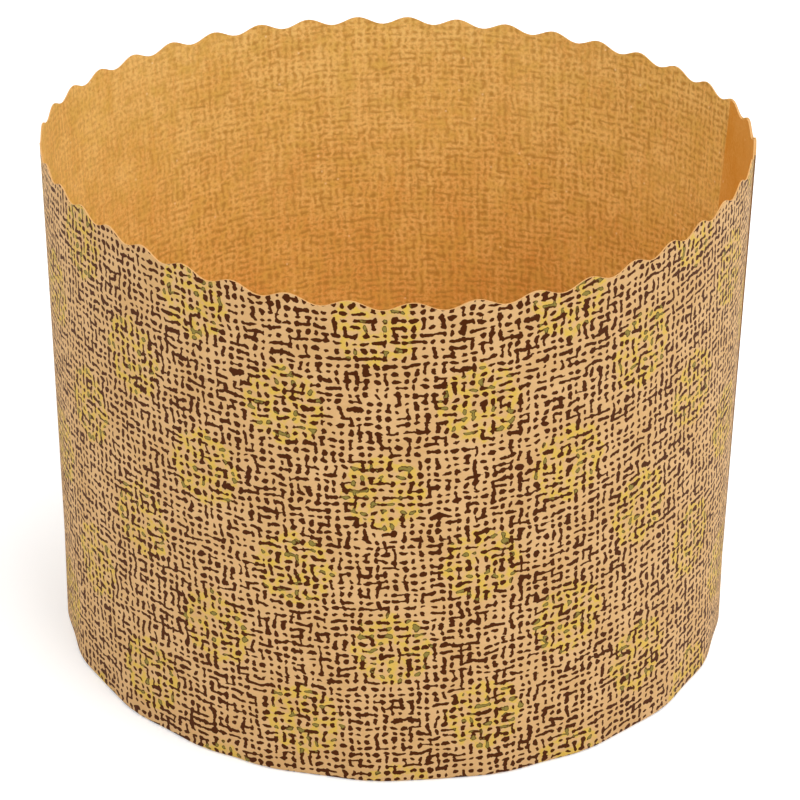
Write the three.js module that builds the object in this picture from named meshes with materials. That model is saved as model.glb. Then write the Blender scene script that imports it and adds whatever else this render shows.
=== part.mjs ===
// Paper baking mould for a tall sweet loaf: a wound paper wall and a base disc. Millimetres, +Z up.
import * as THREE from 'three';

// Paper
const PAPER = 0.5;                 // thickness of one layer
const FOOT_DIAMETER = 133;         // outside, where the wall meets the fold
const FOOT_OVAL = 1.0;             // how far the foot is sprung out of round, as the rim is
const WALL_HEIGHT = 97.7;          // to the middle of the scallops

// Rim, sprung slightly out of round as an empty paper mould is
const RIM_RADIUS = 69.3;           // outside, mean all round
const RIM_OVAL = 2.85;             // longer from front to back, shorter from side to side
const RIM_EGG = 2.0;               // fuller at the front than at the back
const RIM_SQUARENESS = 0.67;
const OVAL_TURN = 3.5;             // angle of the long way, from the front towards +X

// Scallops cut along the top edge
const SCALLOP_PITCH = 10.64;       // along the edge
const SCALLOP_DEPTH = 1.5;         // crest to valley
const FIRST_CREST = 2.95;          // along the edge, from the middle of the front towards +X

// Glued lap at the right-hand side, angles from the front towards +X
const LAP_OUTER_END = 84;          // where the outer layer's cut end shows outside
const LAP_INNER_END = 107.5;       // where the inner layer's cut end shows inside
const LAP_EASE = 6;                // over which a layer bends out to pass the other
const CUT_END = 0.02;              // angle taken up by a cut end

// Lower edge folded inwards and gathered in creases
const FOLD_RADIUS = 1.0;           // outside
const FLANGE_WIDTH = 10;
const FOOT_FLAT = 0.5;             // how far the foot's soft corners stand beyond the flats
const CORNER_REACH = 8;            // angle over which a corner fades into the flats
const FLAT_HEIGHT = 18;            // over which those flats fade up the wall
const CREASE_DEPTH = 0.2;
const CREASES_IN_FRONT = [-66, -47, -31, -20, -3, 17, 32, 50];
const CREASES_BEHIND = 14;         // even, round the rest of the foot

// Base disc laid on the folded edge
const DISC_CLEARANCE = 0.3;        // to the fold's inner bend and to the lap

// Fineness of the mesh
const STEPS_PER_SCALLOP = 8;
const RIM_STEPS = 720;
const DISC_SIDES = 120;

const radians = (angle) => angle * Math.PI / 180;
const smooth = (t) => THREE.MathUtils.smoothstep(t, 0, 1);

// Angles run from the front (-Y) towards +X.
function rimRadius(angle) {
  const turned = angle - radians(OVAL_TURN);
  return RIM_RADIUS + RIM_OVAL * Math.cos(2 * turned) + RIM_EGG * Math.cos(3 * angle)
    + RIM_SQUARENESS * Math.cos(4 * turned);
}

function footRadius(angle) {
  return FOOT_DIAMETER / 2 + FOOT_OVAL * Math.cos(2 * (angle - radians(OVAL_TURN)));
}

function rimPoint(angle) {
  return new THREE.Vector2(Math.sin(angle), -Math.cos(angle)).multiplyScalar(rimRadius(angle));
}

// Lengths along the rim from the front, one for each even step all the way round
function rimLengths() {
  const lengths = [0];
  for (let step = 1; step <= RIM_STEPS; step += 1) {
    const from = rimPoint(2 * Math.PI * (step - 1) / RIM_STEPS);
    const to = rimPoint(2 * Math.PI * step / RIM_STEPS);
    lengths.push(lengths[step - 1] + from.distanceTo(to));
  }
  return lengths;
}

const RIM_LENGTHS = rimLengths();

// The strip starts in the lap: its scallops are counted both ways from the front to there.
function alongRim(turn) {
  const steps = turn / 360 * RIM_STEPS;
  const step = Math.floor(steps);
  const next = Math.min(step + 1, RIM_STEPS);
  const length = THREE.MathUtils.lerp(RIM_LENGTHS[step], RIM_LENGTHS[next], steps - step);
  return turn > LAP_OUTER_END ? length - RIM_LENGTHS[RIM_STEPS] : length;
}

function rimHeight(turn) {
  const scallops = (alongRim(turn) - FIRST_CREST) / SCALLOP_PITCH;
  return WALL_HEIGHT + SCALLOP_DEPTH / 2 * Math.cos(2 * Math.PI * scallops);
}

// Angles of all the creases, sorted, in degrees
function creaseAngles() {
  const first = CREASES_IN_FRONT[0];
  const last = CREASES_IN_FRONT[CREASES_IN_FRONT.length - 1];
  const gap = (first + 360 - last) / (CREASES_BEHIND + 1);
  const behind = Array.from({ length: CREASES_BEHIND }, (_, i) => last + gap * (i + 1));
  return [...CREASES_IN_FRONT, ...behind];
}

const CREASES = creaseAngles();

function turnBetween(turn, other) {
  return Math.abs(THREE.MathUtils.euclideanModulo(turn - other + 180, 360) - 180);
}

// The foot has a soft corner at each crease and is flatter between two.
function footOffset(turn) {
  const toCrease = Math.min(...CREASES.map((crease) => turnBetween(turn, crease)));
  return FOOT_FLAT / 2 * Math.cos(Math.PI * Math.min(toCrease / CORNER_REACH, 1));
}

// Radial places of the wall's two faces, measured from the plain wall's outer face.
// In the lap the inner layer is pushed in and the outer one out, each by half a thickness.
function layerFaces(turn) {
  const inLap = turn > LAP_OUTER_END && turn < LAP_INNER_END;
  const innerLayer = -PAPER / 2 * smooth((turn - LAP_OUTER_END + LAP_EASE) / LAP_EASE);
  const outerLayer = PAPER / 2 * smooth((LAP_INNER_END + LAP_EASE - turn) / LAP_EASE);
  if (inLap) return { outside: outerLayer, inside: innerLayer - PAPER };
  const shift = turn <= LAP_OUTER_END ? innerLayer : outerLayer;
  return { outside: shift, inside: shift - PAPER };
}

// Columns of the wall: even ones, with a close pair at each cut end of the lap
function wallColumns() {
  const ends = [LAP_OUTER_END, LAP_INNER_END];
  const count = Math.round(RIM_LENGTHS[RIM_STEPS] / SCALLOP_PITCH * STEPS_PER_SCALLOP);
  const even = Array.from({ length: count }, (_, i) => 360 * i / count)
    .filter((turn) => ends.every((end) => Math.abs(turn - end) > 180 / count));
  const pairs = ends.flatMap((end) => [end - CUT_END / 2, end + CUT_END / 2]);
  return [...even, ...pairs].sort((a, b) => a - b);
}

// One column's closed section, outside from the top down, round the fold and back up inside
function wallSection(turn, creased) {
  const angle = radians(turn);
  const faces = layerFaces(turn);
  const foot = footRadius(angle);
  const wallPoint = (height, offset) => {
    const flat = footOffset(turn) * Math.max(0, 1 - height / FLAT_HEIGHT);
    return [THREE.MathUtils.lerp(foot, rimRadius(angle), height / WALL_HEIGHT) + flat + offset, height];
  };
  const levels = [rimHeight(turn), FLAT_HEIGHT, FLAT_HEIGHT / 3, FOLD_RADIUS];
  const outside = levels.map((height) => wallPoint(height, faces.outside));
  const inside = levels.map((height) => wallPoint(height, faces.inside)).reverse();
  const bendRadius = foot + footOffset(turn) - FOLD_RADIUS;
  const bend = (radius, part) => [
    bendRadius + radius * Math.cos(part * Math.PI / 2),
    FOLD_RADIUS - radius * Math.sin(part * Math.PI / 2),
  ];
  const lift = creased ? CREASE_DEPTH : 0;
  const flangeEdge = foot - FLANGE_WIDTH;
  return [
    ...outside,
    bend(FOLD_RADIUS, 1 / 3),
    bend(FOLD_RADIUS, 2 / 3),
    [bendRadius, lift],
    [flangeEdge, lift],
    [flangeEdge, PAPER],
    [bendRadius, PAPER],
    bend(FOLD_RADIUS - PAPER, 1 / 2),
    ...inside,
  ];
}

// A closed skin from sections that each turn once round the mould
function sweptSolid(turns, sections) {
  const across = sections[0].length;
  const positions = sections.flatMap((section, i) => section.flatMap(([radius, height]) => {
    const angle = radians(turns[i]);
    return [radius * Math.sin(angle), -radius * Math.cos(angle), height];
  }));
  const faces = sections.flatMap((_, i) => sections[0].flatMap((__, j) => {
    const column = i * across;
    const nextColumn = ((i + 1) % sections.length) * across;
    const row = (j + 1) % across;
    return [column + j, column + row, nextColumn + j, nextColumn + j, column + row, nextColumn + row];
  }));
  const geometry = new THREE.BufferGeometry();
  geometry.setAttribute('position', new THREE.Float32BufferAttribute(positions, 3));
  geometry.setIndex(faces);
  geometry.computeVertexNormals();
  return geometry;
}

// The wound strip: scalloped at the top, lapped at one side, folded in and creased at the foot
function wallGeometry() {
  const turns = wallColumns();
  const creased = CREASES.map((crease) => turns.reduce(
    (best, turn) => (turnBetween(turn, crease) < turnBetween(best, crease) ? turn : best)));
  return sweptSolid(turns, turns.map((turn) => wallSection(turn, creased.includes(turn))));
}

// The disc clears the fold's inner bend at the flats and the lap's extra layer.
function discRadius() {
  return FOOT_DIAMETER / 2 - FOOT_OVAL - FOOT_FLAT / 2 - FOLD_RADIUS - PAPER / 2 - DISC_CLEARANCE;
}

function baseDiscGeometry() {
  return new THREE.CylinderGeometry(discRadius(), discRadius(), PAPER, DISC_SIDES).rotateX(Math.PI / 2);
}

function paper(color, roughness) {
  return new THREE.MeshStandardMaterial({ color, roughness, metalness: 0, side: THREE.FrontSide });
}

const sideWall = new THREE.Mesh(wallGeometry(), paper('#aa8048', 0.72));
sideWall.name = 'side_wall';

const baseDisc = new THREE.Mesh(baseDiscGeometry(), paper('#c9903f', 0.7));
baseDisc.name = 'base_disc';
baseDisc.position.z = PAPER + PAPER / 2;

// The rim isn't quite round, so the mould is moved until its box is centred.
const mould = new THREE.Group();
mould.add(sideWall, baseDisc);
const centre = new THREE.Box3().setFromObject(mould).getCenter(new THREE.Vector3());
mould.position.set(-centre.x, -centre.y, 0);

export default mould;
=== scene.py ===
# Paper baking mould for a tall loaf: a wound, printed paper wall with a scalloped rim, and a base disc.
import math

import bmesh
import bpy
from mathutils import Matrix, Vector


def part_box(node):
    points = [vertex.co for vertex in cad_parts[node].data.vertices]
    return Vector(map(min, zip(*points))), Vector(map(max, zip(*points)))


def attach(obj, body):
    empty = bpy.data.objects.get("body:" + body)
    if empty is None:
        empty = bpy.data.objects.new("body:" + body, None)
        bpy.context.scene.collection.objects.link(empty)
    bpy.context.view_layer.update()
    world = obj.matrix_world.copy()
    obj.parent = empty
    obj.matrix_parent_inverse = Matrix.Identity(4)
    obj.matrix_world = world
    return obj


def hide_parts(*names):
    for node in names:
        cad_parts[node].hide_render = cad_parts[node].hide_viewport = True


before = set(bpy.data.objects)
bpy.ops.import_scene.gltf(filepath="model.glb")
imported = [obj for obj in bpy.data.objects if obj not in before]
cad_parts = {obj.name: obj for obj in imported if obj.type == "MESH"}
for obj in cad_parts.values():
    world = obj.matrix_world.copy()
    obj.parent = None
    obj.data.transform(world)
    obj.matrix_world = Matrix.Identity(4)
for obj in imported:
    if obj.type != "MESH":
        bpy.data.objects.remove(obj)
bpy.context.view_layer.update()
metre = 0.001  # one millimetre

# The strip of paper that makes the wall, in millimetres and degrees.
# Angles run from the front towards +X.
wallSizes = {
    "layerStep": 0.5,       # from one layer to the next in the lap, at the foot
    "layerStepRim": 0.28,
    "thinsFrom": 2.0,       # the height over which the paper is drawn thinner
    "thinsTo": 34.0,
    "footRadius": 66.5,     # outside
    "footOval": 1.0,
    "footFront": 0.4,       # a little fuller at the front
    "rimRadius": 69.3,      # outside
    "rimOval": 2.85,
    "rimEgg": 2.0,
    "rimSquareness": 0.67,
    "ovalTurn": 3.5,
    "height": 97.68,        # to the middle of the scallops
    "scallopPitch": 10.64,
    "scallopDepth": 1.5,
    "firstCrest": 2.95,
    "lapOuterEnd": 87.0,
    "lapInnerEnd": 109.0,
    "lapEase": 6.0,
    "lapLean": 3.5,         # how far the inner end has moved round by the foot
    "foldRadius": 0.7,
    "flangeWidth": 9.0,
    "trimmedReach": 63.8,   # where the inner layer's folded edge ends, clear of the disc
    "lapStep": 0.8,         # the angle over which that edge steps up onto the outer layer's
    "footFlat": 0.5,
    "cornerReach": 8.0,
    "flatHeight": 18.0,
    "creaseDepth": 0.2,
    "creaseHalfWidth": 1.0,
    "buckle": 0.12,         # how far the paper wanders inwards
}
wallRows = {"flangeRows": 6, "bendRows": 6, "wallRows": 34, "columns": 560}
paperThickness = {"foot": 0.48, "rim": 0.26}
creasesInFront = [-66, -47, -31, -20, -3, 17, 32, 50]
creasesBehind = 14
leanFade = 40               # the lean at the inner end fades over one fortieth of the strip
buckleSizes = {"scale": 0.045, "upScale": 0.35, "start": 0.2}
sharpAngle = 50             # faces that meet more sharply than this keep a hard edge

discSizes = {"rings": 14, "sides": 180, "edge": 0.08}

# Ink pattern: a sacking weave of short dark strokes, and small rosettes in a half-drop repeat
printSizes = {
    "coneReach": 2418.0,    # the strip is cut as an arc of this radius at the rim
    "turn": 2.7,            # the print runs a little uphill
    "threadAcross": 1.64,
    "threadUp": 1.43,
}

# The strokes' own sizes, in threads; a radius or half-width has a least value and a random addition
strokeSizes = {
    "drift": 0.9,           # how far the threads wander, widely and finely
    "driftScale": 0.55,
    "wobble": 0.42,
    "wobbleScale": 1.9,
    "dotRadius": 0.235,
    "dotAddition": 0.17,
    "stretch": 0.75,        # a dot is longer one way than the other
    "stretchAddition": 0.55,
    "sideways": 0.15,
    "upright": 0.14,
    "strokeAddition": 0.12,
    "share": 0.2,           # how many strokes are there, and how that changes from patch to patch
    "shareChange": 0.6,
    "patchScale": 0.16,
    "coreFrom": 0.06,
    "coreTo": 0.13,
    "hollowShare": 0.32,
    "seeds": {"dot": 3.0, "sideways": 17.0, "upright": 41.0},
}

# A rosette, in millimetres: a small ring, eight spokes and a scalloped outer ring, worn and broken
rosetteSizes = {
    "across": 17.2,
    "up": 32.4,
    "start": (1.0, 61.6),
    "radius": 6.4,
    "waves": 4,             # each has two spokes and two scallops
    "scallop": 1.2,
    "scallopInset": 0.8,
    "outerHalfWidth": 0.85,
    "innerRadius": 2.4,
    "innerHalfWidth": 0.7,
    "spokeStart": 2.0,
    "spokeHalfWidth": 0.65,
    "ragged": 2.2,
    "raggedScale": 0.7,
    "blur": 0.35,
    "hollowFrom": -0.1,
    "hollowTo": 0.3,
    "wornScale": 0.6,
    "wornFrom": 0.38,
    "wornTo": 0.55,
    "wornLeast": 0.2,
}

# Paper grain: how fine and how rough each kind is
grainSizes = {
    "mottle": {"scale": 0.11, "detail": 3.0, "roughness": 0.6},
    "mottleFrom": 0.3,
    "mottleTo": 0.7,
    "fibre": {"scale": 1.5, "detail": 3.0, "roughness": 0.7},
    "streak": {"scale": 1.0, "detail": 3.0, "roughness": 0.75},
    "streakAcross": 0.9,
    "streakUp": 0.07,
}
# Painted glints on the inside: tiny bright specks that stand in for the paper's sheen
paintedGlintSizes = {"size": 0.4, "share": 0.0007, "seed": 5.0}
bumpDepth = 0.2             # millimetres

# How each surface looks: shares of a mix, and what each kind of grain adds to the tone
outsideLook = {
    "softness": 0.022,      # of the strokes' edges, in threads
    "thinner": 0.012,
    "mottle": 0.6,
    "fibre": 0.8,
    "yellowFibre": 1.1,
    "yellowLeast": 0.22,
    "roughness": 0.85,
    "inkSmoother": 0.1,
    "specular": 0.03,
    "sheen": 0.12,
    "sheenRoughness": 0.5,
    "sheenTint": (1.0, 0.88, 0.74, 1.0),
    "bump": 0.25,
    "bumpFibre": 0.6,
    "bumpStreak": 0.4,
}
insideLook = {
    "softness": 0.24,
    "thinner": 0.07,
    "deepBelow": 30.0,      # between these heights the painted shade low in the mould fades out
    "paleAbove": 80.0,
    "mottle": 0.5,
    "streak": 1.5,
    "fibre": 2.2,
    "paintedLowShade": 0.45,
    "toneStart": 0.12,
    "olive": {"scale": 0.22, "detail": 3.0, "roughness": 0.6},
    "oliveFrom": 0.42,
    "oliveTo": 0.75,
    "oliveMost": 0.7,
    "fleckFrom": 0.47,
    "fleckTo": 0.72,
    "fleckMost": 0.45,
    "yellow": 0.25,
    "throughScale": 0.035,  # the print shows through more in some wide patches, and in some small ones
    "throughGain": 1.5,
    "throughStart": -0.1,
    "patchScale": 0.45,
    "patchGain": 1.1,
    "patchLeast": 0.45,
    "through": 1.4,
    "throughLeft": 0.9,     # less of it at the left
    "throughDeep": 0.9,     # and more low down
    "leftTurn": -75.0,
    "throughHollow": 0.4,
    "bareBlur": 0.5,
    "glintShare": 0.55,
    "roughness": 0.4,
    "streakRougher": 0.2,
    "bump": 0.3,
    "bumpFibre": 0.5,
}
edgeLook = {"roughness": 0.8, "endShadeShare": 0.8, "endReach": 0.1, "uprightBelow": 0.5}
discLook = {
    "mottle": 0.5,
    "fibre": 0.7,
    "streak": 0.5,
    "toneStart": 0.15,
    "roughness": 0.55,
    "bump": 0.25,
}

inks = {
    "paper": "#dab07c",
    "paperWarm": "#cc9f65",
    "stroke": "#4a1f00",
    "yellow": "#d8b444",
    "olive": "#54421a",
    "oliveCore": "#8a7a3a",
    "inside": "#f3cc7b",
    "insideWarm": "#e0a855",
    "throughStroke": "#bf9042",
    "throughYellow": "#e6be58",
    "insideOlive": "#dcba5c",
    "bare": "#d59230",
    "cutEdge": "#c99558",
    # painted shade on the lap's outer cut end
    "paintedShadeEnd": "#7a5228",
    "glint": "#fbe3b4",
    "fleck": "#bd843a",
    "disc": "#d39c50",
}

# Camera: where it stands from the middle of the foot, and how it is turned
cameraSizes = {
    "distance": 484.7,
    "height": 285.0,
    "pitch": 26.476,
    "yaw": 0.113,
    "roll": -0.544,
    "focal": 124.15,
    "pictureWidth": 36.0,
    "nearest": 10.0,        # nothing nearer is drawn
}

lightSizes = {
    "world": 0.66,
    "key": {"place": (0.65, -0.7, 1.1), "size": 0.9, "power": 8.0},
    "fill": {"place": (-0.8, -0.5, 0.6), "size": 0.9, "power": 2.2},
    "top": {"place": (0.15, 0.1, 1.1), "size": 0.7, "power": 5.0},
    "aim": (0, 0, 0.05),
}
floorSizes = {"reach": 4.0, "grey": 0.82, "glow": 0.34}


def colour(hexText):
    # a written screen colour, off the standard screen curve, as the linear values that sockets hold
    levels = [int(hexText[i:i + 2], 16) / 255 for i in (1, 3, 5)]
    return [v / 12.92 if v <= 0.04045 else ((v + 0.055) / 1.055) ** 2.4 for v in levels] + [1.0]


# A node's output that can stand in a sum, so that a tree reads like the sum it holds
class Term:
    def __init__(self, tree, socket):
        self.tree = tree
        self.socket = socket

    def __add__(self, other):
        return mathNode(self.tree, "ADD", self, other)

    def __sub__(self, other):
        return mathNode(self.tree, "SUBTRACT", self, other)

    def __mul__(self, other):
        return mathNode(self.tree, "MULTIPLY", self, other)

    def __truediv__(self, other):
        return mathNode(self.tree, "DIVIDE", self, other)

    def __radd__(self, other):
        return mathNode(self.tree, "ADD", other, self)

    def __rsub__(self, other):
        return mathNode(self.tree, "SUBTRACT", other, self)

    def __rmul__(self, other):
        return mathNode(self.tree, "MULTIPLY", other, self)


def feed(tree, socket, value):
    if isinstance(value, Term):
        tree.links.new(value.socket, socket)
    else:
        socket.default_value = value


def addNode(tree, kind, inputs=None, **settings):
    node = tree.nodes.new(kind)
    for name, value in settings.items():
        setattr(node, name, value)
    for key, value in (inputs or {}).items():
        feed(tree, node.inputs[key], value)
    return node


def chain(term, kind, inputs, **settings):
    # the next geometry node, fed by the last one
    node = addNode(term.tree, kind, inputs, **settings)
    first = node.inputs["Geometry"] if "Geometry" in node.inputs else node.inputs["Mesh"]
    term.tree.links.new(term.socket, first)
    return Term(term.tree, node.outputs[0])


def mathNode(tree, operation, *values):
    node = addNode(tree, "ShaderNodeMath", dict(enumerate(values)), operation=operation)
    return Term(tree, node.outputs[0])


def sinOf(term):
    return mathNode(term.tree, "SINE", term)


def cosOf(term):
    return mathNode(term.tree, "COSINE", term)


def floorOf(term):
    return mathNode(term.tree, "FLOOR", term)


def absOf(term):
    return mathNode(term.tree, "ABSOLUTE", term)


def smaller(term, other):
    return mathNode(term.tree, "MINIMUM", term, other)


def larger(term, other):
    return mathNode(term.tree, "MAXIMUM", term, other)


def isLess(term, other):
    return mathNode(term.tree, "LESS_THAN", term, other)


def between(start, end, share):
    return start + (end - start) * share


def held(term):
    # kept from 0 to 1
    return smaller(larger(term, 0.0), 1.0)


def smoothRange(term, low, high):
    # 0 below low, 1 above high, and a soft step between
    inputs = {0: term, 1: low, 2: high}
    node = addNode(term.tree, "ShaderNodeMapRange", inputs, interpolation_type="SMOOTHSTEP")
    return Term(term.tree, node.outputs[0])


def vectorOf(tree, x, y, z):
    node = addNode(tree, "ShaderNodeCombineXYZ", {0: x, 1: y, 2: z})
    return Term(tree, node.outputs[0])


def partsOf(term):
    node = addNode(term.tree, "ShaderNodeSeparateXYZ", {0: term})
    return [Term(term.tree, output) for output in node.outputs]


def noiseParts(place, scale, detail=1.0):
    # three independent smooth values about zero
    inputs = {"Vector": place, "Scale": scale, "Detail": detail}
    node = addNode(place.tree, "ShaderNodeTexNoise", inputs)
    return [part - 0.5 for part in partsOf(Term(place.tree, node.outputs["Color"]))]


def noiseValue(place, scale, detail=2.0, roughness=0.5):
    inputs = {"Vector": place, "Scale": scale, "Detail": detail, "Roughness": roughness}
    return Term(place.tree, addNode(place.tree, "ShaderNodeTexNoise", inputs).outputs["Fac"])


def cellParts(tree, across, up, seed):
    # three random values for each cell of a grid
    node = addNode(tree, "ShaderNodeTexWhiteNoise", {"Vector": vectorOf(tree, across, up, seed)})
    return partsOf(Term(tree, node.outputs["Color"]))


def mixColour(tree, share, first, second):
    node = addNode(tree, "ShaderNodeMix", {0: share, 6: first, 7: second}, data_type="RGBA")
    return Term(tree, node.outputs[2])


def groupInputs(tree, names, kind="NodeSocketFloat"):
    for name in names:
        tree.interface.new_socket(name=name, in_out="INPUT", socket_type=kind)


def groupOutputs(tree, names):
    for name in names:
        tree.interface.new_socket(name=name, in_out="OUTPUT", socket_type="NodeSocketFloat")


def giveOut(tree, terms):
    # join each term to the group's output of that name
    exitNode = tree.nodes.new("NodeGroupOutput")
    for name, term in terms.items():
        tree.links.new(term.socket, exitNode.inputs[name])


def placeGroup(tree, group, inputs):
    node = addNode(tree, "ShaderNodeGroup", node_tree=group)
    for key, value in inputs.items():
        feed(tree, node.inputs[key], value)
    return {output.name: Term(tree, output) for output in node.outputs}


# The wall

def creaseAngles():
    first, last = creasesInFront[0], creasesInFront[-1]
    gap = (first + 360 - last) / (creasesBehind + 1)
    return creasesInFront + [last + gap * (i + 1) for i in range(creasesBehind)]


def creaseRow():
    # one point for each crease on a line of degrees, three turns long for the sake of the strip's ends
    points = [(angle + turn, 0, 0) for turn in (-360, 0, 360) for angle in creaseAngles()]
    mesh = bpy.data.meshes.new("creaseRow")
    mesh.from_pydata(points, [], [])
    return mesh


def layerShift(turn, lean, size):
    # how far each layer has moved to pass the other in the lap
    inner = smoothRange(turn, size["lapOuterEnd"] - size["lapEase"], size["lapOuterEnd"])
    outerTurn = turn + 360.0 - lean
    outer = 1.0 - smoothRange(outerTurn, size["lapInnerEnd"], size["lapInnerEnd"] + size["lapEase"])
    return inner, outer


def alongRim(angle, size):
    # length along the rim from the front, from the rim's radius summed over the angle
    atFront = size["ovalTurn"] * (math.pi / 180)
    turned = angle - atFront
    bulge = size["rimOval"] * size["rimOval"] * 4 + size["rimEgg"] * size["rimEgg"] * 9
    mean = size["rimRadius"] + bulge / (size["rimRadius"] * 4)
    oval = size["rimOval"] / 2 * (sinOf(turned * 2) + sinOf(atFront * 2))
    egg = size["rimEgg"] / 3 * sinOf(angle * 3)
    square = size["rimSquareness"] / 4 * (sinOf(turned * 4) + sinOf(atFront * 4))
    return mean * angle + oval + egg + square


def outlineRadii(turn, angle, size):
    # the outlines of the foot and of the rim, both sprung out of round
    turned = (turn - size["ovalTurn"]) * (math.pi / 180)
    facing = larger(cosOf(angle), 0.0)
    foot = (size["footRadius"] + size["footOval"] * cosOf(turned * 2)
            + size["footFront"] * facing * facing)
    rim = (size["rimRadius"] + size["rimOval"] * cosOf(turned * 2) + size["rimEgg"] * cosOf(angle * 3)
           + size["rimSquareness"] * cosOf(turned * 4))
    return foot, rim


def cornersAndCreases(turn, size):
    # how far the foot stands out at its soft corners, and how near the middle of a crease is
    search = {"Geometry": size["Creases"], "Sample Position": vectorOf(turn.tree, turn, 0.0, 0.0)}
    near = addNode(turn.tree, "GeometryNodeProximity", search, target_element="POINTS")
    toCrease = Term(turn.tree, near.outputs["Distance"])
    corner = size["footFlat"] / 2 * cosOf(smaller(toCrease / size["cornerReach"], 1.0) * math.pi)
    crease = 1.0 - smoothRange(toCrease, 0.0, size["creaseHalfWidth"])
    return corner, crease


def buckleDepth(angle, foot, climb, size):
    # faint buckles, the same in both layers of the lap, only inwards and none at the foot
    around = vectorOf(angle.tree, sinOf(angle) * foot, cosOf(angle) * foot, climb * buckleSizes["upScale"])
    aboveFoot = held(climb / size["flatHeight"] - buckleSizes["start"])
    return noiseValue(around, buckleSizes["scale"], 1.0) * size["buckle"] * aboveFoot


def wallTree():
    tree = bpy.data.node_groups.new("woundPaperWall", "GeometryNodeTree")
    tree.interface.new_socket(name="Creases", in_out="INPUT", socket_type="NodeSocketGeometry")
    groupInputs(tree, wallSizes)
    groupInputs(tree, wallRows, "NodeSocketInt")
    tree.interface.new_socket(name="Paper", in_out="INPUT", socket_type="NodeSocketMaterial")
    tree.interface.new_socket(name="Sheet", in_out="OUTPUT", socket_type="NodeSocketGeometry")
    entry = tree.nodes.new("NodeGroupInput")
    size = {output.name: Term(tree, output) for output in entry.outputs if output.name}

    upRows = size["flangeRows"] + size["bendRows"]
    allRows = upRows + size["wallRows"]
    grid = addNode(tree, "GeometryNodeMeshGrid", {
        "Size X": 1.0, "Size Y": 1.0, "Vertices X": size["columns"] + 1.0, "Vertices Y": allRows + 1.0})
    spot = partsOf(Term(tree, tree.nodes.new("GeometryNodeInputPosition").outputs[0]))
    row = (spot[1] + 0.5) * allRows

    # round the mould
    sweep = size["lapInnerEnd"] - size["lapOuterEnd"] + 360.0
    stripShare = spot[0] + 0.5
    wallShare = held((row - upRows) / size["wallRows"])
    lean = size["lapLean"] * (1.0 - wallShare)
    turn = size["lapInnerEnd"] - sweep * stripShare + lean * held(1.0 - stripShare * leanFade)
    angle = turn * (math.pi / 180)
    foot, rim = outlineRadii(turn, angle, size)
    corner, crease = cornersAndCreases(turn, size)
    along = alongRim(angle, size)
    wave = cosOf((along - size["firstCrest"]) / size["scallopPitch"] * (2 * math.pi))
    top = size["height"] + size["scallopDepth"] / 2 * wave

    # up the section: along the folded edge, round the bend, then up the wall
    flangeShare = held(row / size["flangeRows"])
    bendAngle = held((row - size["flangeRows"]) / size["bendRows"]) * (math.pi / 2)
    climb = between(size["foldRadius"], top, wallShare)
    thinned = held((climb - size["thinsFrom"]) / (size["thinsTo"] - size["thinsFrom"]))
    inner, outer = layerShift(turn, lean, size)
    # at the foot each layer gives way by half a step, and higher up the outer one alone
    step = between(size["layerStep"], size["layerStepRim"], thinned)
    shift = (outer * (thinned + 1.0) - inner * (1.0 - thinned)) * step / 2
    stepped = smoothRange(turn, size["lapOuterEnd"] - size["lapStep"], size["lapOuterEnd"])
    bend = size["foldRadius"] - stepped * size["layerStep"]

    def wallRadius(height):
        flat = corner * larger(1.0 - height / size["flatHeight"], 0.0)
        return between(foot, rim, height / size["height"]) + flat + shift

    trimmed = wallRadius(size["foldRadius"]) - bend - size["trimmedReach"]
    flange = between(size["flangeWidth"], trimmed, stepped)
    back = flange * (1.0 - flangeShare)
    unbuckled = wallRadius(climb) - bend + bend * sinOf(bendAngle) - back
    radius = unbuckled - buckleDepth(angle, foot, climb, size)
    height = climb - bend * cosOf(bendAngle)
    lift = crease * size["creaseDepth"] * (1.0 - stepped) * (1.0 - held(bendAngle / (math.pi / 2)))
    stripUp = climb + bend * (bendAngle - math.pi / 2) - back

    x = sinOf(angle) * radius * metre
    y = cosOf(angle) * radius * -metre
    place = vectorOf(tree, x, y, (height + lift) * metre)
    sheet = Term(tree, grid.outputs["Mesh"])
    stored = chain(sheet, "GeometryNodeStoreNamedAttribute", {
        "Name": "strip", "Value": vectorOf(tree, along, stripUp, turn)}, data_type="FLOAT_VECTOR")
    shaped = chain(stored, "GeometryNodeSetPosition", {"Position": place})
    turnedOut = chain(shaped, "GeometryNodeFlipFaces", {})
    smooth = chain(turnedOut, "GeometryNodeSetShadeSmooth", {"Shade Smooth": True})
    real = chain(smooth, "GeometryNodeRealizeInstances", {})
    finish = chain(real, "GeometryNodeSetMaterial", {"Material": size["Paper"]})
    exitNode = tree.nodes.new("NodeGroupOutput")
    tree.links.new(finish.socket, exitNode.inputs[0])
    return tree


def setInputs(modifier, values):
    for item in modifier.node_group.interface.items_tree:
        if item.item_type == "SOCKET" and item.in_out == "INPUT" and item.name in values:
            modifier[item.identifier] = values[item.name]


def settledMesh(piece):
    # the mesh that the piece's modifiers make, as a plain mesh
    graph = bpy.context.evaluated_depsgraph_get()
    evaluated = piece.evaluated_get(graph)
    return bpy.data.meshes.new_from_object(evaluated, preserve_all_data_layers=True, depsgraph=graph)


def footCentre():
    low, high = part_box("base_disc")
    return Vector(((low.x + high.x) / 2, (low.y + high.y) / 2, 0))


def thicknessShares(piece):
    # a group that thins the paper from the foot to the rim
    group = piece.vertex_groups.new(name="thickness")
    low, high = wallSizes["thinsFrom"] * metre, wallSizes["thinsTo"] * metre
    thinnest = paperThickness["rim"] / paperThickness["foot"]
    for vertex in piece.data.vertices:
        share = min(max((vertex.co.z - low) / (high - low), 0), 1)
        group.add([vertex.index], 1 + (thinnest - 1) * share, "REPLACE")
    return group.name


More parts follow.
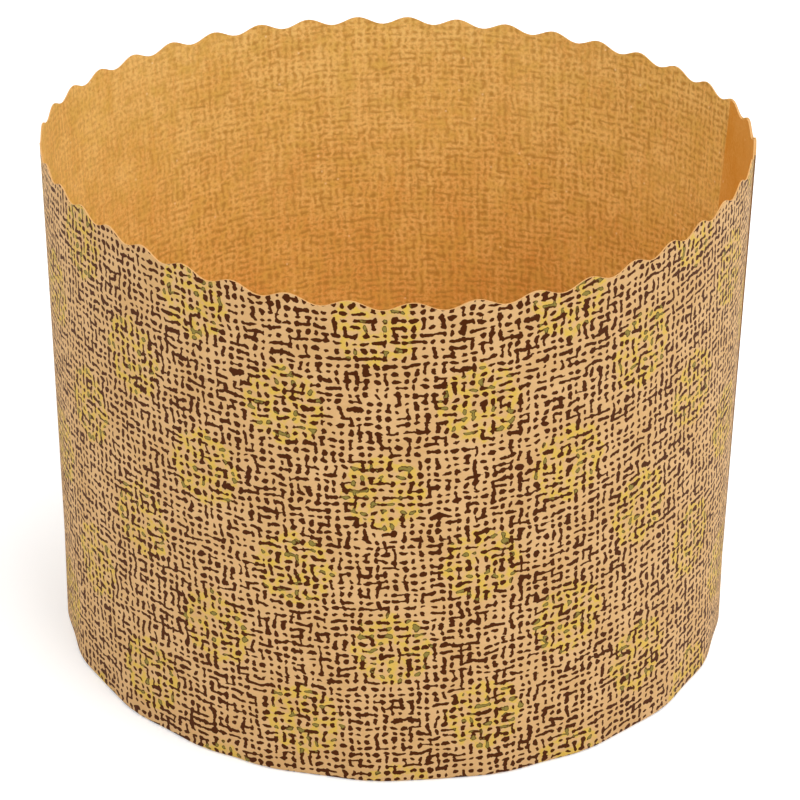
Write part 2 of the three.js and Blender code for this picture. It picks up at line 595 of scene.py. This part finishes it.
def buildWall(outside, inside, cutEdge):
    maker = bpy.data.objects.new("wallMaker", creaseRow())
    bpy.context.scene.collection.objects.link(maker)
    modifier = maker.modifiers.new("wall", "NODES")
    modifier.node_group = wallTree()
    setInputs(modifier, {**wallSizes, **wallRows, "Paper": outside})
    sheet = settledMesh(maker)
    maker.modifiers.clear()
    maker.data = sheet
    sheet.materials.clear()
    for material in (outside, inside, cutEdge):
        sheet.materials.append(material)
    thicken = maker.modifiers.new("paper", "SOLIDIFY")
    thicken.vertex_group = thicknessShares(maker)
    thicken.thickness = paperThickness["foot"] * metre
    thicken.offset = -1
    thicken.material_offset = 1
    thicken.material_offset_rim = 2
    wallMesh = settledMesh(maker)
    bpy.data.objects.remove(maker)
    wallMesh.set_sharp_from_angle(angle=math.radians(sharpAngle))
    wallMesh.transform(Matrix.Translation(footCentre()))
    piece = bpy.data.objects.new("printedWall", wallMesh)
    bpy.context.scene.collection.objects.link(piece)
    return piece


# The base disc

def buildDisc(paper):
    low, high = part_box("base_disc")
    radius = (high.x - low.x) / 2
    edge = discSizes["edge"] * metre
    shape = bmesh.new()
    ringRadii = [radius * i / discSizes["rings"] for i in range(1, discSizes["rings"])]
    up = [(r, high.z) for r in ringRadii] + [(radius - edge, high.z), (radius, high.z - edge)]
    down = [(radius, low.z + edge), (radius - edge, low.z)] + [(r, low.z) for r in reversed(ringRadii)]
    centre = footCentre()
    sides = discSizes["sides"]
    turns = [2 * math.pi * k / sides for k in range(sides)]
    rings = []
    for r, z in up + down:
        points = [(centre.x + r * math.sin(t), centre.y - r * math.cos(t), z) for t in turns]
        rings.append([shape.verts.new(point) for point in points])
    for inner, outer in zip(rings, rings[1:]):
        for k in range(sides):
            n = (k + 1) % sides
            shape.faces.new((inner[k], outer[k], outer[n], inner[n]))
    for ring, z in ((rings[0], high.z), (rings[-1], low.z)):
        pole = shape.verts.new((centre.x, centre.y, z))
        for k in range(sides):
            shape.faces.new((ring[k], ring[(k + 1) % sides], pole))
    bmesh.ops.recalc_face_normals(shape, faces=shape.faces)
    mesh = bpy.data.meshes.new("baseDisc")
    shape.to_mesh(mesh)
    shape.free()
    mesh.materials.append(paper)
    piece = bpy.data.objects.new("baseDisc", mesh)
    bpy.context.scene.collection.objects.link(piece)
    return piece


# The print

def printPlace(strip):
    # where a place on the strip lies on the flat sheet that was printed
    along, up = partsOf(strip)[:2]
    reach = printSizes["coneReach"]
    flatAcross = along * ((up - wallSizes["height"]) / reach + 1.0)
    flatUp = up - along * along / (reach * 2)
    tilt = math.radians(printSizes["turn"])
    x = flatAcross * math.cos(tilt) + flatUp * math.sin(tilt)
    y = flatUp * math.cos(tilt) - flatAcross * math.sin(tilt)
    return x, y


def weaveStrokes(tree, x, y):
    # dots and short strokes that join the crossings of an uneven grid, above zero where there is ink,
    # with a random value for each crossing
    sizes = strokeSizes
    seeds = sizes["seeds"]
    threadsAcross = x / printSizes["threadAcross"]
    threadsUp = y / printSizes["threadUp"]
    grid = vectorOf(tree, threadsAcross, threadsUp, 0.0)
    drift = noiseParts(grid, sizes["driftScale"], 0.0)
    wobble = noiseParts(grid, sizes["wobbleScale"], 1.0)
    across = threadsAcross + drift[0] * sizes["drift"] + wobble[0] * sizes["wobble"]
    up = threadsUp + drift[1] * sizes["drift"] + wobble[1] * sizes["wobble"]

    cellAcross, cellUp = floorOf(across), floorOf(up)
    offAcross, offUp = across - cellAcross - 0.5, up - cellUp - 0.5

    dot = cellParts(tree, cellAcross, cellUp, seeds["dot"])
    stretch = dot[1] * sizes["stretchAddition"] + sizes["stretch"]
    dotAcross = offAcross * stretch
    dotUp = offUp * (2.0 - stretch)
    away = mathNode(tree, "SQRT", dotAcross * dotAcross + dotUp * dotUp)
    dotValue = dot[0] * sizes["dotAddition"] + sizes["dotRadius"] - away

    patch = noiseParts(grid, sizes["patchScale"], 1.0)
    sideways = cellParts(tree, floorOf(across - 0.5), cellUp, seeds["sideways"])
    upright = cellParts(tree, cellAcross, floorOf(up - 0.5), seeds["upright"])
    sidewaysThere = isLess(sideways[0], patch[0] * sizes["shareChange"] + sizes["share"])
    uprightThere = isLess(upright[0], patch[1] * sizes["shareChange"] + sizes["share"])
    sidewaysWidth = sideways[1] * sizes["strokeAddition"] + sizes["sideways"]
    uprightWidth = upright[1] * sizes["strokeAddition"] + sizes["upright"]
    sidewaysValue = sidewaysWidth - absOf(offUp) - (1.0 - sidewaysThere)
    uprightValue = uprightWidth - absOf(offAcross) - (1.0 - uprightThere)
    return larger(larger(dotValue, sidewaysValue), uprightValue), dot[2]


def rosetteFigure(tree, place, x, y):
    # above zero where a rosette has ink
    sizes = rosetteSizes
    startAcross, startUp = sizes["start"]
    column = (x - startAcross) / sizes["across"]
    columnNumber = floorOf(column + 0.5)
    halfDrop = columnNumber / 2 - floorOf(columnNumber / 2)
    line = (y - startUp) / sizes["up"] + halfDrop
    lineNumber = floorOf(line + 0.5)
    ragged = noiseParts(place, sizes["raggedScale"], 1.0)
    dx = (column - columnNumber) * sizes["across"] + ragged[0] * sizes["ragged"]
    dy = (line - lineNumber) * sizes["up"] + ragged[1] * sizes["ragged"]
    out = mathNode(tree, "SQRT", dx * dx + dy * dy)
    bearing = mathNode(tree, "ARCTAN2", dy, dx) * sizes["waves"]
    edge = absOf(cosOf(bearing)) * sizes["scallop"] + (sizes["radius"] - sizes["scallopInset"])
    outerRing = sizes["outerHalfWidth"] - absOf(out - edge)
    innerRing = sizes["innerHalfWidth"] - absOf(out - sizes["innerRadius"])
    spoke = smaller(sizes["spokeHalfWidth"] - absOf(sinOf(bearing)) * out / sizes["waves"], edge - out)
    return larger(larger(outerRing, innerRing), smaller(spoke, out - sizes["spokeStart"]))


def sackingPrint():
    tree = bpy.data.node_groups.new("sackingPrint", "ShaderNodeTree")
    tree.interface.new_socket(name="Place", in_out="INPUT", socket_type="NodeSocketVector")
    groupInputs(tree, ["Softness", "Thinner"])
    groupOutputs(tree, ["Strokes", "Yellow", "Hollow", "Core"])
    entry = tree.nodes.new("NodeGroupInput")
    x, y = printPlace(Term(tree, entry.outputs["Place"]))
    place = vectorOf(tree, x, y, 0.0)

    value, chance = weaveStrokes(tree, x, y)
    value = value - Term(tree, entry.outputs["Thinner"])
    soft = Term(tree, entry.outputs["Softness"])
    strokes = smoothRange(value, soft * -1.0, soft)
    core = smoothRange(value, strokeSizes["coreFrom"], strokeSizes["coreTo"])

    # the second ink is worn, and some strokes under it look hollow
    sizes = rosetteSizes
    figure = rosetteFigure(tree, place, x, y)
    worn = smoothRange(noiseValue(place, sizes["wornScale"], 2.0), sizes["wornFrom"], sizes["wornTo"])
    cover = worn * (1 - sizes["wornLeast"]) + sizes["wornLeast"]
    yellow = smoothRange(figure, -sizes["blur"], sizes["blur"]) * cover
    isHollow = isLess(chance, strokeSizes["hollowShare"])
    hollow = smoothRange(figure, sizes["hollowFrom"], sizes["hollowTo"]) * isHollow
    giveOut(tree, {"Strokes": strokes, "Yellow": yellow, "Hollow": hollow, "Core": core})
    return tree


def paperGrain():
    # fibres, mottling and a faint vertical grain
    tree = bpy.data.node_groups.new("paperGrain", "ShaderNodeTree")
    tree.interface.new_socket(name="Place", in_out="INPUT", socket_type="NodeSocketVector")
    groupOutputs(tree, ["Mottle", "Fibre", "Streak"])
    entry = tree.nodes.new("NodeGroupInput")
    place = Term(tree, entry.outputs["Place"])
    x, y, z = partsOf(place)
    sizes = grainSizes
    mottle = smoothRange(noiseValue(place, **sizes["mottle"]), sizes["mottleFrom"], sizes["mottleTo"])
    fibre = noiseValue(place, **sizes["fibre"])
    drawnOut = vectorOf(tree, x * sizes["streakAcross"], y * sizes["streakUp"], z)
    streak = noiseValue(drawnOut, **sizes["streak"])
    giveOut(tree, {"Mottle": mottle, "Fibre": fibre, "Streak": streak})
    return tree


def newMaterial(name, roughness, specular=0.3):
    material = bpy.data.materials.new(name)
    material.use_nodes = True
    tree = material.node_tree
    tree.nodes.clear()
    shader = addNode(tree, "ShaderNodeBsdfPrincipled", {
        "Roughness": roughness, "Specular IOR Level": specular})
    output = tree.nodes.new("ShaderNodeOutputMaterial")
    tree.links.new(shader.outputs[0], output.inputs[0])
    return material, tree, shader


def stripPlace(tree):
    # the place on the flat strip in millimetres, and its angle round the mould
    node = addNode(tree, "ShaderNodeAttribute", attribute_name="strip")
    along, up, turn = partsOf(Term(tree, node.outputs["Vector"]))
    return vectorOf(tree, along, up, 0.0), turn


def addBump(tree, shader, height, strength):
    inputs = {"Height": height, "Strength": strength, "Distance": bumpDepth * metre}
    bump = addNode(tree, "ShaderNodeBump", inputs)
    tree.links.new(bump.outputs[0], shader.inputs["Normal"])


def paintedGlintMask(tree, place):
    # painted glints: rare tiny bright specks that stand in for the paper's sheen
    x, y = partsOf(place)[:2]
    across, up = floorOf(x / paintedGlintSizes["size"]), floorOf(y / paintedGlintSizes["size"])
    return isLess(cellParts(tree, across, up, paintedGlintSizes["seed"])[0], paintedGlintSizes["share"])


def outsideMaterial(printGroup, grainGroup):
    look = outsideLook
    material, tree, shader = newMaterial("printedPaper", look["roughness"], look["specular"])
    place = stripPlace(tree)[0]
    ink = placeGroup(tree, printGroup, {
        "Place": place, "Softness": look["softness"], "Thinner": look["thinner"]})
    grain = placeGroup(tree, grainGroup, {"Place": place})
    tone = grain["Mottle"] * look["mottle"] + (grain["Fibre"] - 0.5) * look["fibre"]
    paper = mixColour(tree, held(tone), colour(inks["paper"]), colour(inks["paperWarm"]))
    patchy = held(grain["Fibre"] * look["yellowFibre"] + look["yellowLeast"])
    ground = mixColour(tree, ink["Yellow"] * patchy, paper, colour(inks["yellow"]))
    olive = mixColour(tree, ink["Core"], colour(inks["olive"]), colour(inks["oliveCore"]))
    stroke = mixColour(tree, ink["Hollow"], colour(inks["stroke"]), olive)
    final = mixColour(tree, ink["Strokes"], ground, stroke)
    feed(tree, shader.inputs["Base Color"], final)
    feed(tree, shader.inputs["Roughness"], look["roughness"] - ink["Strokes"] * look["inkSmoother"])
    shader.inputs["Sheen Weight"].default_value = look["sheen"]
    shader.inputs["Sheen Roughness"].default_value = look["sheenRoughness"]
    shader.inputs["Sheen Tint"].default_value = look["sheenTint"]
    relief = grain["Fibre"] * look["bumpFibre"] + grain["Streak"] * look["bumpStreak"]
    addBump(tree, shader, relief, look["bump"])
    return material


def insideMaterial(printGroup, grainGroup):
    look = insideLook
    material, tree, shader = newMaterial("amberPaper", look["roughness"])
    place, turn = stripPlace(tree)
    ink = placeGroup(tree, printGroup, {
        "Place": place, "Softness": look["softness"], "Thinner": look["thinner"]})
    grain = placeGroup(tree, grainGroup, {"Place": place})
    # painted shade: the paper's tone is darker low in the mould, where less light reaches
    paintedLowShade = 1.0 - smoothRange(partsOf(place)[1], look["deepBelow"], look["paleAbove"])
    tone = (grain["Mottle"] * look["mottle"] + (grain["Streak"] - 0.5) * look["streak"]
            + (grain["Fibre"] - 0.5) * look["fibre"] + paintedLowShade * look["paintedLowShade"] + look["toneStart"])
    warmed = mixColour(tree, held(tone), colour(inks["inside"]), colour(inks["insideWarm"]))
    olive = smoothRange(noiseValue(place, **look["olive"]), look["oliveFrom"], look["oliveTo"])
    dyed = mixColour(tree, olive * look["oliveMost"], warmed, colour(inks["insideOlive"]))
    fleck = smoothRange(grain["Fibre"], look["fleckFrom"], look["fleckTo"])
    paper = mixColour(tree, fleck * look["fleckMost"], dyed, colour(inks["fleck"]))
    ground = mixColour(tree, ink["Yellow"] * look["yellow"], paper, colour(inks["throughYellow"]))
    # the print shows through more in some places than in others
    wide = noiseValue(place, look["throughScale"], 2.0) * look["throughGain"] + look["throughStart"]
    patch = noiseValue(place, look["patchScale"], 2.0) * look["patchGain"] + look["patchLeast"]
    atLeft = larger(cosOf((turn - look["leftTurn"]) * (math.pi / 180)), 0.0)
    # more print shows through low down, along the same ramp as the painted shade
    through = look["through"] - atLeft * look["throughLeft"] + paintedLowShade * look["throughDeep"]
    solid = 1.0 - ink["Hollow"] * look["throughHollow"]
    showThrough = ink["Strokes"] * held(held(wide) * patch * through) * solid
    printed = mixColour(tree, showThrough, ground, colour(inks["throughStroke"]))
    # the lap's inner layer is bare: no print shows through two layers
    lapEnd, blur = wallSizes["lapOuterEnd"], look["bareBlur"]
    bare = smoothRange(turn, lapEnd - blur, lapEnd + blur)
    bareTone = mixColour(tree, held(tone), colour(inks["bare"]), colour(inks["insideWarm"]))
    sheet = mixColour(tree, bare, printed, bareTone)
    # painted glints: the sheen's tiny highlights, mixed into the colour
    final = mixColour(tree, paintedGlintMask(tree, place) * look["glintShare"], sheet, colour(inks["glint"]))
    feed(tree, shader.inputs["Base Color"], final)
    feed(tree, shader.inputs["Roughness"], grain["Streak"] * look["streakRougher"] + look["roughness"])
    addBump(tree, shader, grain["Fibre"] * look["bumpFibre"] + grain["Streak"], look["bump"])
    return material


def edgeMaterial(grainGroup):
    material, tree, shader = newMaterial("cutPaperEdge", edgeLook["roughness"])
    place, turn = stripPlace(tree)
    grain = placeGroup(tree, grainGroup, {"Place": place})
    pale = mixColour(tree, grain["Fibre"], colour(inks["cutEdge"]), colour(inks["paperWarm"]))
    # painted shade: the lap's outer cut end is darkened to dark brown, so that it reads as a shadowed seam
    facing = partsOf(Term(tree, tree.nodes.new("ShaderNodeNewGeometry").outputs["True Normal"]))
    upright = isLess(absOf(facing[2]), edgeLook["uprightBelow"])
    outerEnd = isLess(turn, wallSizes["lapOuterEnd"] - 360 + edgeLook["endReach"]) * upright
    tone = mixColour(tree, outerEnd * edgeLook["endShadeShare"], pale, colour(inks["paintedShadeEnd"]))
    feed(tree, shader.inputs["Base Color"], tone)
    return material


def discMaterial(grainGroup):
    look = discLook
    material, tree, shader = newMaterial("plainPaper", look["roughness"])
    spot = Term(tree, tree.nodes.new("ShaderNodeTexCoord").outputs["Object"])
    scaled = addNode(tree, "ShaderNodeVectorMath", {0: spot, "Scale": 1 / metre}, operation="SCALE")
    grain = placeGroup(tree, grainGroup, {"Place": Term(tree, scaled.outputs[0])})
    tone = (grain["Mottle"] * look["mottle"] + (grain["Fibre"] - 0.5) * look["fibre"]
            + (grain["Streak"] - 0.5) * look["streak"] + look["toneStart"])
    paper = mixColour(tree, held(tone), colour(inks["disc"]), colour(inks["insideWarm"]))
    feed(tree, shader.inputs["Base Color"], paper)
    addBump(tree, shader, grain["Fibre"], look["bump"])
    return material


# Floor, light and camera

def isSeenRay(tree):
    rays = tree.nodes.new("ShaderNodeLightPath")
    seen = larger(Term(tree, rays.outputs["Is Camera Ray"]), Term(tree, rays.outputs["Is Glossy Ray"]))
    return larger(seen, Term(tree, rays.outputs["Is Transmission Ray"]))


def buildWorld():
    world = bpy.data.worlds.new("studio")
    bpy.context.scene.world = world
    world.use_nodes = True
    tree = world.node_tree
    tree.nodes.clear()
    pure = (1, 1, 1, 1)
    lamp = addNode(tree, "ShaderNodeBackground", {"Color": pure, "Strength": lightSizes["world"]})
    white = addNode(tree, "ShaderNodeBackground", {"Color": pure, "Strength": 1.0})
    mix = addNode(tree, "ShaderNodeMixShader")
    tree.links.new(isSeenRay(tree).socket, mix.inputs[0])
    tree.links.new(lamp.outputs[0], mix.inputs[1])
    tree.links.new(white.outputs[0], mix.inputs[2])
    output = tree.nodes.new("ShaderNodeOutputWorld")
    tree.links.new(mix.outputs[0], output.inputs[0])


def buildFloor():
    material = bpy.data.materials.new("paleFloor")
    material.use_nodes = True
    tree = material.node_tree
    tree.nodes.clear()
    grey = floorSizes["grey"]
    matt = addNode(tree, "ShaderNodeBsdfDiffuse", {"Color": (grey, grey, grey, 1)})
    glow = addNode(tree, "ShaderNodeEmission", {"Color": (1, 1, 1, 1)})
    rays = tree.nodes.new("ShaderNodeLightPath")
    feed(tree, glow.inputs["Strength"], Term(tree, rays.outputs["Is Camera Ray"]) * floorSizes["glow"])
    both = tree.nodes.new("ShaderNodeAddShader")
    tree.links.new(matt.outputs[0], both.inputs[0])
    tree.links.new(glow.outputs[0], both.inputs[1])
    output = tree.nodes.new("ShaderNodeOutputMaterial")
    tree.links.new(both.outputs[0], output.inputs[0])
    mesh = bpy.data.meshes.new("floor")
    reach = floorSizes["reach"]
    corners = [(-reach, -reach, 0), (reach, -reach, 0), (reach, reach, 0), (-reach, reach, 0)]
    mesh.from_pydata(corners, [], [(0, 1, 2, 3)])
    mesh.materials.append(material)
    floor = bpy.data.objects.new("floor", mesh)
    bpy.context.scene.collection.objects.link(floor)


def buildLamp(name, values):
    lamp = bpy.data.lights.new(name, "AREA")
    lamp.shape = "DISK"
    lamp.size = values["size"]
    lamp.energy = values["power"]
    holder = bpy.data.objects.new(name, lamp)
    holder.location = values["place"]
    aim = Vector(lightSizes["aim"]) - holder.location
    holder.rotation_euler = aim.to_track_quat("-Z", "Y").to_euler()
    bpy.context.scene.collection.objects.link(holder)


def buildCamera():
    pitch = math.radians(cameraSizes["pitch"])
    yaw = math.radians(cameraSizes["yaw"])
    roll = math.radians(cameraSizes["roll"])
    ahead = Vector((math.sin(yaw) * math.cos(pitch), math.cos(yaw) * math.cos(pitch), -math.sin(pitch)))
    right = Vector((math.cos(yaw), -math.sin(yaw), 0))
    down = ahead.cross(right)
    rolledRight = right * math.cos(roll) + down * math.sin(roll)
    rolledUp = right * math.sin(roll) - down * math.cos(roll)
    data = bpy.data.cameras.new("camera")
    data.sensor_width = cameraSizes["pictureWidth"]
    data.lens = cameraSizes["focal"]
    data.clip_start = cameraSizes["nearest"] * metre
    camera = bpy.data.objects.new("camera", data)
    turn = Matrix((rolledRight, rolledUp, -ahead)).transposed()
    stand = footCentre() + Vector((0, -cameraSizes["distance"], cameraSizes["height"])) * metre
    camera.matrix_world = Matrix.Translation(stand) @ turn.to_4x4()
    bpy.context.scene.collection.objects.link(camera)
    bpy.context.scene.camera = camera


def main():
    printGroup = sackingPrint()
    grainGroup = paperGrain()
    outside = outsideMaterial(printGroup, grainGroup)
    inside = insideMaterial(printGroup, grainGroup)
    cutEdge = edgeMaterial(grainGroup)
    print("materials made")

    wall = buildWall(outside, inside, cutEdge)
    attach(wall, "root")
    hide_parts("side_wall")
    print("wall made:", len(wall.data.polygons), "faces")

    disc = buildDisc(discMaterial(grainGroup))
    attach(disc, "root")
    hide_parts("base_disc")
    print("base disc made:", len(disc.data.polygons), "faces")

    buildFloor()
    buildWorld()
    for name in ("key", "fill", "top"):
        buildLamp(name, lightSizes[name])
    buildCamera()
    bpy.context.scene.view_settings.view_transform = "Standard"
    print("floor, light and camera made")


main()
